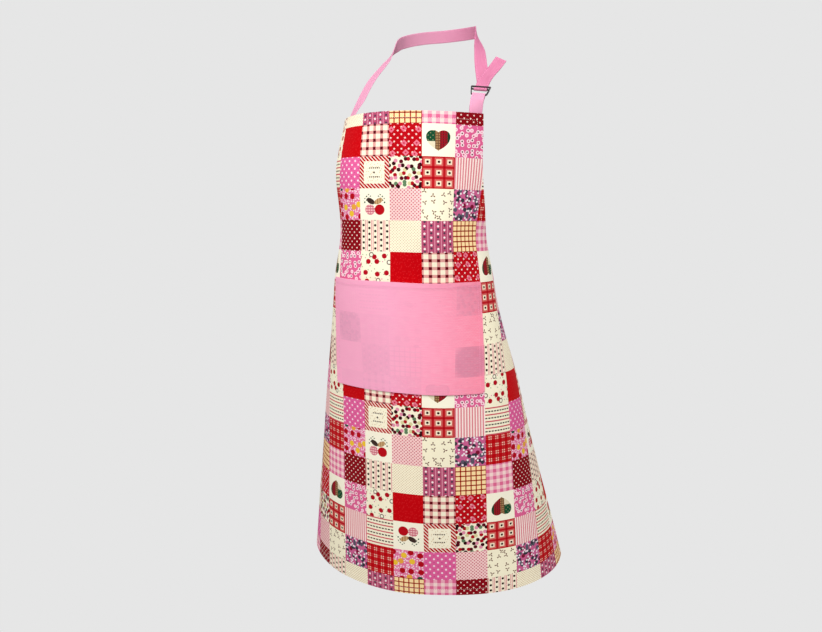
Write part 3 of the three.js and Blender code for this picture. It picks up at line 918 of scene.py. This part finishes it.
strapCut = {
    "wide": 20, "thick": 1.0, "edgeRound": 0.3, "columns": 8, "sewnBehind": 26, "sewnGap": 1.8,
    "strapAcross": -93, "tabAcross": 136,
    "pinkTones": {"pale": "#D08FA9", "deep": "#C06C8D", "axis": "Y", "deepens": (250, 400), "slub": "#D698B2",
            "slubSize": (1.111, 16.667), "slubRange": (0.3, 0.7), "slubShare": 0.3},
}
sliderFrame = {
    "topWide": 32, "bottomWide": 25, "tall": 19.5, "bar": 2.0, "middleBarUp": 3, "clear": 0.45,
    "corner": 2.5, "cornerSteps": 5, "round": 0.8, "roundSteps": 4,
    "place": (125.5, 76, 32), "across": (0.99, 0.05, -0.1), "up": (0.03, 0.7, 0.71),
    "plate": "#584F53", "cloud": "#746A6E", "cloudSize": 2.5, "polish": (0.22, 0.38),
}

sliderPlace = Vector(sliderFrame["place"])
sliderAcross = Vector(sliderFrame["across"]).normalized()
sliderOut = sliderAcross.cross(Vector(sliderFrame["up"])).normalized()
sliderUp = sliderOut.cross(sliderAcross)

bandOffBar = sliderFrame["bar"] / 2 + sliderFrame["clear"] + strapCut["thick"] / 2
bandOffBand = strapCut["thick"] + sliderFrame["clear"]
topBarUp = sliderFrame["tall"] / 2 - sliderFrame["bar"] / 2


# a station at the slider: how far up, out and across from its middle, and the angle that the band has turned
def atSlider(up, out, across, faceAngle):
    angle = math.radians(faceAngle)
    spot = sliderPlace + sliderUp * up + sliderOut * out + sliderAcross * across
    return spot, sliderOut * math.cos(angle) - sliderUp * math.sin(angle)


# half turn of a band under or over a bar, from the back to the front of it
def foldRound(barUp, direction):
    stations = []
    for degrees in range(0, 181, 15):
        angle = math.radians(degrees)
        stations.append(atSlider(barUp + direction * bandOffBar * math.sin(angle),
                                 -bandOffBar * math.cos(angle), 0, direction * degrees))
    return stations


# on the wrong side of the cloth, a number of bands behind it, facing it
def behindCloth(across, down, layer):
    depth = (wornCloth["thick"] / 2 + wornCloth["hemExtra"] + strapCut["sewnGap"] + strapCut["thick"] / 2
             + layer * bandOffBand)
    points, out = hungPoints([across], [down], -depth)
    return Vector(points[0]), Vector(out[0])


# smooth run of stations through a few of them
def smoothRun(stations, count):
    spots = [spot for spot, face in stations]
    spots = [spots[0] * 2 - spots[1], *spots, spots[-1] * 2 - spots[-2]]
    run = []
    for i in range(count + 1):
        place = i / count * (len(stations) - 1)
        k = min(int(place), len(stations) - 2)
        f = place - k
        p0, p1, p2, p3 = spots[k:k + 4]
        before, here, after = ((b - a).length ** 0.5 for a, b in ((p0, p1), (p1, p2), (p2, p3)))
        start = ((p1 - p0) / before - (p2 - p0) / (before + here) + (p2 - p1) / here) * here
        end = ((p2 - p1) / here - (p3 - p1) / (here + after) + (p3 - p2) / after) * here
        spot = p1 + start * f + (-3 * p1 + 3 * p2 - 2 * start - end) * f ** 2 + (
            2 * p1 - 2 * p2 + start + end) * f ** 3
        face = stations[k][1].lerp(stations[k + 1][1], f).normalized()
        run.append((spot, face))
    return run


# folded pink cotton, sewn flat along both edges, deeper pink toward the free end
def pinkStrapCotton():
    material, tree = startMaterial("pinkStrapCotton")
    finishCotton(tree, gradedPinkCotton(tree, strapCut["pinkTones"]))
    return material


strapCotton = pinkStrapCotton()


# lays a flat strip along the stations: its columns go across the band, its rows along it
def layBand(name, stations):
    columns = strapCut["columns"]
    rows = len(stations) - 1
    spots = [spot for spot, face in stations]
    lengths = [0.0]
    for here, ahead in zip(spots, spots[1:]):
        lengths.append(lengths[-1] + (ahead - here).length)
    deselectAll()
    bpy.ops.mesh.primitive_grid_add(x_subdivisions=columns, y_subdivisions=rows, size=1)
    band = bpy.context.object
    band.name = name
    flat = meshPoints(band.data)
    column = np.rint((flat[:, 0] + 0.5) * columns).astype(int)
    row = np.rint((flat[:, 1] + 0.5) * rows).astype(int)
    flat[:, 0] = (column / columns - 0.5) * strapCut["wide"]
    flat[:, 1] = np.array(lengths)[row]
    setMeshPoints(band.data, flat)
    mapFlatCloth(band.data)
    frames = bandFrames(stations)
    middle = np.array([frames[j][0] + frames[j][1] * x for j, x in zip(row, flat[:, 0])])
    setMeshPoints(band.data, inFrame(middle))
    applyModifier(band, "SOLIDIFY", thickness=strapCut["thick"] * mm, offset=0.0, use_even_offset=False)
    applyModifier(band, "BEVEL", width=strapCut["edgeRound"] * mm, segments=2, limit_method="ANGLE",
                  angle_limit=sharpAbove)
    band.data.materials.append(strapCotton)
    shadeRound(band)
    return band, lengths[-1]


# the middle, sideways direction and outward direction of a band at each station
def bandFrames(stations):
    frames = []
    last = len(stations) - 1
    for i, (spot, face) in enumerate(stations):
        along = (stations[min(i + 1, last)][0] - stations[max(i - 1, 0)][0]).normalized()
        out = (face - along * face.dot(along)).normalized()
        frames.append((spot, along.cross(out), out))
    return frames


strapLoop = {
    "middle": (34, 158), "radius": 65, "lean": 0.12,
    "rises": (  # degrees round the loop, height
        (184, 116), (155, 128), (125, 136), (95, 139), (65, 140), (35, 138), (5, 131),
    ),
}


# the round stretch of the neck strap, at the back of its loop
def loopStations():
    stations = []
    for degrees, rise in strapLoop["rises"]:
        angle = math.radians(degrees)
        face = Vector((math.cos(angle), math.sin(angle), strapLoop["lean"]))
        x, y = (middle + strapLoop["radius"] * turned for middle, turned in zip(strapLoop["middle"], face))
        stations.append((Vector((x, y, rise)), face))
    return stations


neckStrapRun = [
    *smoothRun([
        behindCloth(strapCut["strapAcross"], strapCut["sewnBehind"], 0),  # sewn behind the bib
        behindCloth(strapCut["strapAcross"], 3, 0),
        (Vector((-69, 81, 22)), Vector((-0.44, -0.68, 0.58))),  # up to the loop
        (Vector((-59, 105, 56)), Vector((-0.42, -0.66, 0.62))),
        (Vector((-41, 128, 88)), Vector((-0.52, -0.56, 0.64))),
        *loopStations(),
        (Vector((109, 141, 104)), Vector((0.55, -0.3, 0.75))),  # down to the slider
        (Vector((117, 117, 76)), Vector((0.3, -0.55, 0.75))),
        atSlider(24, -3.6, 0, 0),
    ], count=150),
    atSlider(14, -bandOffBar - bandOffBand, 0, 0),  # behind the top bar and round the middle one
    atSlider(topBarUp, -bandOffBar - bandOffBand, 0, 0),
    atSlider(5.5, -bandOffBar - 0.9, 0, 0),
    *foldRound(sliderFrame["middleBarUp"], -1),
    *smoothRun([
        atSlider(sliderFrame["middleBarUp"] + 1.2, bandOffBar - 0.1, 0, 180),
        atSlider(sliderFrame["middleBarUp"] + 2.8, 0, 0, 180),
        atSlider(topBarUp - 1.7, -bandOffBar + 0.4, 0, 180),
        atSlider(topBarUp + 1.5, -bandOffBar, 0, 180),
        atSlider(15, -bandOffBar, 0.5, 180),  # the free end
        atSlider(22, 1, 2.5, 180),
        atSlider(30, 6, 7, 180),
        atSlider(41, 12, 15, 180),
        atSlider(55, 18, 22.5, 180),
    ], count=48),
]
neckStrap, neckStrapLength = layBand("neckStrap", neckStrapRun)

# the tab is doubled over the bottom bar: two layers either side of one line, which draw apart toward the bar
tabLine = smoothRun([
    behindCloth(strapCut["tabAcross"], strapCut["sewnBehind"], 0.5),
    behindCloth(strapCut["tabAcross"], 2, 0.5),
    atSlider(-topBarUp - 14, -0.65, 0, 0),
    atSlider(-topBarUp - 5, 0, 0, 0),
], count=24)


# one layer of the tab, on the outer or the inner side of its line
def tabLayer(side):
    frames = bandFrames(tabLine)
    aparts = np.linspace(bandOffBand / 2, bandOffBar, len(frames))
    return [(spot + out * side * apart, out * -side) for (spot, sideways, out), apart in zip(frames, aparts)]


strapTabRun = [*tabLayer(-1), *foldRound(-topBarUp, 1), *reversed(tabLayer(1))]
strapTab, strapTabLength = layBand("strapTab", strapTabRun)
print("straps laid:", round(neckStrapLength), "mm and", round(strapTabLength), "mm")


# the slider: a rounded plate, narrower below, with two windows, its bars rounded off like wire
def makeSlider():
    size = sliderFrame
    deselectAll()
    bpy.ops.mesh.primitive_plane_add(size=1)
    slider = bpy.context.object
    slider.name = "slideBuckle"
    slider.scale = (size["topWide"], size["tall"], 1)
    bpy.ops.object.transform_apply(location=True, rotation=True, scale=True)
    bpy.ops.object.mode_set(mode="EDIT")
    bpy.ops.mesh.select_mode(type="VERT")
    mesh = bmesh.from_edit_mesh(slider.data)
    for vertex in mesh.verts:
        vertex.select = vertex.co.y < 0
    mesh.select_flush_mode()
    bmesh.update_edit_mesh(slider.data)
    bpy.ops.transform.resize(value=(size["bottomWide"] / size["topWide"], 1, 1), center_override=(0, 0, 0))
    bpy.ops.mesh.select_all(action="SELECT")
    bpy.ops.mesh.bevel(offset=size["corner"], segments=size["cornerSteps"], affect="VERTICES")
    bpy.ops.mesh.select_mode(type="FACE")
    bpy.ops.mesh.select_all(action="SELECT")
    bpy.ops.mesh.inset(thickness=size["bar"])

    def inside(middle):  # within the slider's outer bars
        return abs(middle.x) < 1 and abs(middle.y) < size["tall"] / 2 - size["bar"]

    for edge in (-1, 1):
        line = size["middleBarUp"] + edge * size["bar"] / 2
        cutAlong(slider, Vector((-1, line, 0)), Vector((1, line, 0)), inside)
    dropFaces(slider, lambda middle: inside(middle) and abs(middle.y - size["middleBarUp"]) > size["bar"] / 2)
    bpy.ops.object.mode_set(mode="OBJECT")
    applyModifier(slider, "SOLIDIFY", thickness=size["bar"], offset=0.0)
    applyModifier(slider, "BEVEL", width=size["round"], segments=size["roundSteps"], limit_method="ANGLE",
                  angle_limit=sharpAbove)
    axes = Matrix((sliderAcross, sliderUp, sliderOut)).transposed().to_4x4()
    place = Matrix.Translation((sliderPlace - frameOrigin) * mm)
    slider.data.transform(place @ axes @ Matrix.Scale(mm, 4))
    shadeRound(slider)
    slider.data.materials.append(blackNickel())
    return slider


# steel with black-nickel plate: a dark mirror, slightly clouded by handling
def blackNickel():
    material, tree = startMaterial("blackNickelSteel")
    place = addNode(tree, "TexCoord")["Object"]
    cloud = addNode(tree, "TexNoise", named={
        "Vector": place, "Scale": 1 / (sliderFrame["cloudSize"] * mm), "Detail": 4.0})["Fac"]
    colour = inkOver(tree, sliderFrame["plate"], (cloud, sliderFrame["cloud"]))
    rough = addNode(tree, "MapRange", cloud, 0.3, 0.7, *sliderFrame["polish"])[0]
    plated = addNode(tree, "BsdfPrincipled", named={
        "Base Color": colour, "Metallic": 1.0, "Roughness": rough})[0]
    addNode(tree, "OutputMaterial", plated)
    return material


slideBuckle = makeSlider()
print("slider made")


# running stitches: one stitch is modelled, set in a row and bent along each seam

stitch = {
    "long": 2.3, "gap": 3.3, "thick": 0.42, "sides": 6, "rings": 4, "lift": 0.05, "bandLift": 0.02,
    "hemInset": 2, "bandInset": 2.2, "pocketInsets": (2.5, 8.0), "mouthInset": 3,
    "twist": 0.4, "roughness": 0.8, "fuzz": 0.2,
}


# soft spun cotton thread: matt, its twist just seen as a change of tone
def cottonThread(name, dark, pale):
    material, tree = startMaterial(name)
    place = addNode(tree, "TexCoord")["Object"]
    twist = addNode(tree, "TexNoise", named={"Vector": place, "Scale": 1 / (stitch["twist"] * mm)})["Fac"]
    spun = addNode(tree, "BsdfPrincipled", named={
        "Base Color": inkOver(tree, dark, (twist, pale)), "Roughness": stitch["roughness"],
        "Sheen Weight": stitch["fuzz"]})[0]
    addNode(tree, "OutputMaterial", spun)
    return material


# a row of stitches along each seam, joined as one piece
def sewSeams(name, seams, thread):
    rows = []
    for seam in seams:
        path = bpy.data.curves.new("seamPath", "CURVE")
        path.dimensions = "3D"
        spline = path.splines.new("POLY")
        spline.points.add(len(seam) - 1)
        for point, spot in zip(spline.points, seam):
            point.co = (*spot, 1)
        line = bpy.data.objects.new("seamPath", path)
        bpy.context.scene.collection.objects.link(line)
        deselectAll()
        bpy.ops.mesh.primitive_uv_sphere_add(segments=stitch["sides"], ring_count=stitch["rings"], radius=0.5)
        row = bpy.context.object
        row.rotation_euler = (0, math.radians(90), 0)
        bpy.ops.object.transform_apply(location=False, rotation=True, scale=False)
        row.scale = (stitch["long"] * mm, stitch["thick"] * mm, stitch["thick"] * mm)
        row.location = (stitch["gap"] / 2 * mm, 0, 0)
        bpy.ops.object.transform_apply(location=True, rotation=True, scale=True)
        applyModifier(row, "ARRAY", fit_type="FIT_CURVE", curve=line, use_relative_offset=False,
                      use_constant_offset=True, constant_offset_displace=(stitch["gap"] * mm, 0, 0))
        applyModifier(row, "CURVE", object=line, deform_axis="POS_X")
        bpy.data.objects.remove(line)
        rows.append(row)
    deselectAll()
    for row in rows:
        row.select_set(True)
    bpy.context.view_layer.objects.active = rows[0]
    bpy.ops.object.join()
    sewn = bpy.context.object
    sewn.name = name
    sewn.data.materials.append(thread)
    makeActive(sewn)
    bpy.ops.object.shade_smooth()
    return sewn


# a seam's points on the hung cloth, in the frame's metres
def onCloth(across, down, lift):
    points, out = hungPoints(across, down, lift)
    return inFrame(points)


# along the cloth's hems, on both sides of it
def clothSeams():
    inset = wornCloth["hemWide"] - stitch["hemInset"]
    length = wornCloth["length"]
    top = float(hemmedHalf(inset, inset)[0])
    side = wornCloth["skirtHalf"] - inset
    tops = np.linspace(-top, top, 90)
    bottoms = np.linspace(-side, side, 200)
    sides = np.linspace(inset, length - inset, 260)
    front = wornCloth["thick"] / 2 + stitch["lift"]
    seams = []
    for lift in (front, -front - wornCloth["hemExtra"]):
        seams.append(onCloth(tops, np.full_like(tops, inset), lift))
        seams.append(onCloth(bottoms, np.full_like(bottoms, length - inset), lift))
        for sign in (-1, 1):
            seams.append(onCloth(sign * hemmedHalf(sides, inset), sides, lift))
    return seams


# round the pocket's two sides and bottom, and along the hem of its mouth
def pocketSeams():
    seams = []
    middle, top = pocketCut["middle"], pocketCut["top"]
    turn = np.radians(np.linspace(0, 90, 10))
    front = pocketCut["thick"] / 2 + stitch["lift"]
    for inset in stitch["pocketInsets"]:
        half = pocketCut["halfWide"] - inset
        low = pocketCut["bottom"] - inset
        corner = max(pocketCut["corner"] - inset, 1.0)
        sides = np.linspace(top + 1, low - corner, 50)
        bottoms = np.linspace(corner - half, half - corner, 80)
        acrosses = np.concatenate([
            np.full_like(sides, -half), corner - half - corner * np.cos(turn), bottoms,
            half - corner + corner * np.sin(turn), np.full_like(sides, half)]) + middle
        downs = np.concatenate([
            sides, low - corner + corner * np.sin(turn), np.full_like(bottoms, low),
            low - corner + corner * np.cos(turn), sides[::-1]])
        lowered, lift, closeness = placePocket(acrosses, downs)
        seams.append(onCloth(acrosses, lowered, lift + front))
    mouthHalf = pocketCut["halfWide"] - stitch["mouthInset"]
    acrosses = middle + np.linspace(-mouthHalf, mouthHalf, 90)
    hemDown = top + pocketCut["hemWide"] - stitch["hemInset"]
    lowered, lift, closeness = placePocket(acrosses, np.full_like(acrosses, hemDown))
    seams.append(onCloth(acrosses, lowered, lift + front + pocketCut["hemExtra"]))
    return seams


# along both edges of a band, on both sides of it
def bandSeams(stations):
    aside = strapCut["wide"] / 2 - stitch["bandInset"]
    above = strapCut["thick"] / 2 + stitch["bandLift"]
    frames = bandFrames(stations)
    return [
        inFrame([spot + sideways * side * aside + out * face * above for spot, sideways, out in frames])
        for side in (-1, 1) for face in (-1, 1)
    ]


creamThread = cottonThread("creamCottonThread", "#F3E6DA", "#FFF8EE")
pinkThread = cottonThread("pinkCottonThread", "#F48FC0", "#FBB3D6")
clothStitches = sewSeams("clothStitches", clothSeams(), creamThread)
pocketStitches = sewSeams("pocketStitches", pocketSeams(), pinkThread)
strapStitches = sewSeams("strapStitches", bandSeams(neckStrapRun), pinkThread)
tabStitches = sewSeams("tabStitches", bandSeams(strapTabRun), pinkThread)
print("seams stitched")


# which part each piece stands for: each is attached to the root, and the part it replaces is hidden

for piece, node, slot in (
    (apronCloth, "apron_panel", "printed_cotton"), (frontPocket, "pocket", "pocket_cotton"),
    (neckStrap, "neck_strap", "strap_cotton"), (strapTab, "strap_tab", "strap_cotton"),
    (slideBuckle, "slide_buckle", "gunmetal"),
):
    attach(piece, "root")
    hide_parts(node)
for piece, slot in ((clothStitches, "printed_cotton"), (pocketStitches, "pocket_cotton"),
                    (strapStitches, "strap_cotton"), (tabStitches, "strap_cotton")):
    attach(piece, "root")
